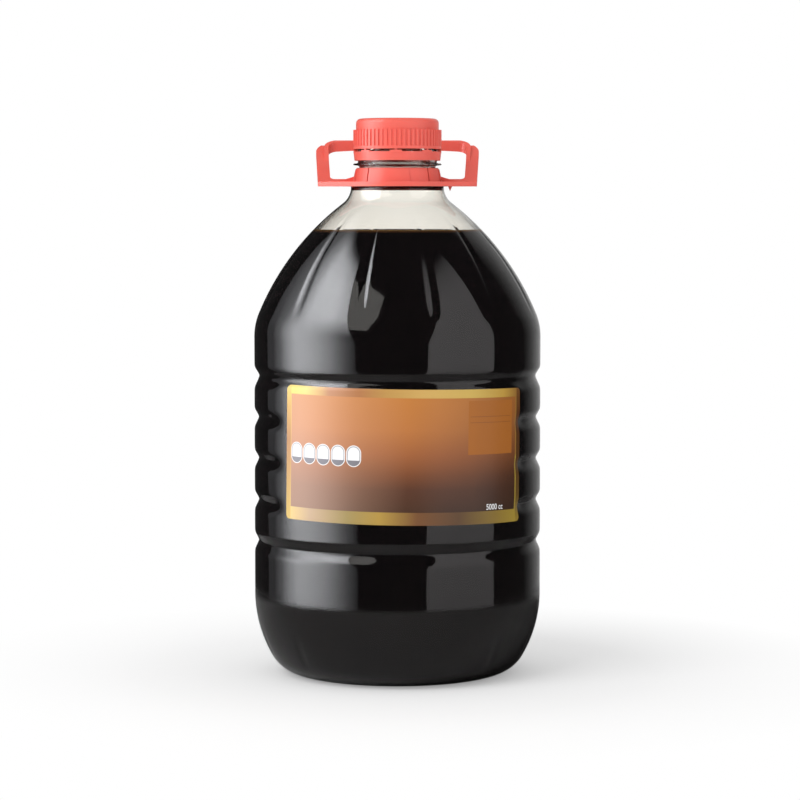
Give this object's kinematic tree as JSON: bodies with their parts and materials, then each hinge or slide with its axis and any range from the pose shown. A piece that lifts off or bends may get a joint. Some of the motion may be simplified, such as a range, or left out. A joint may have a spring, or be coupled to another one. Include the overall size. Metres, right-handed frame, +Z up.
{
  "type": "soy sauce bottle",
  "caption": "Large clear plastic bottle of dark soy sauce with ribbed sides, a red screw cap, a red carry handle on the neck and a wrap label.",
  "frame": {"origin": "centre of the foot ring, on the surface the bottle stands on", "axes": "+Z up along the bottle's axis, -Y the front of the label, +Y the side the handle's crossbar is on, +X to the right seen from the front"},
  "size_m": [0.1666, 0.167, 0.3223],
  "materials": {
    "clear_plastic": "clear glossy plastic",
    "soy_sauce": "dark glossy liquid",
    "label_paper": "printed semi-gloss film",
    "red_cap": "moulded satin plastic",
    "red_handle": "moulded satin plastic"
  },
  "bodies": {
    "root": {"bottle": "clear_plastic", "soy_sauce": "soy_sauce", "label": "label_paper", "cap": "red_cap", "handle": "red_handle"}
  },
  "joints": []
}
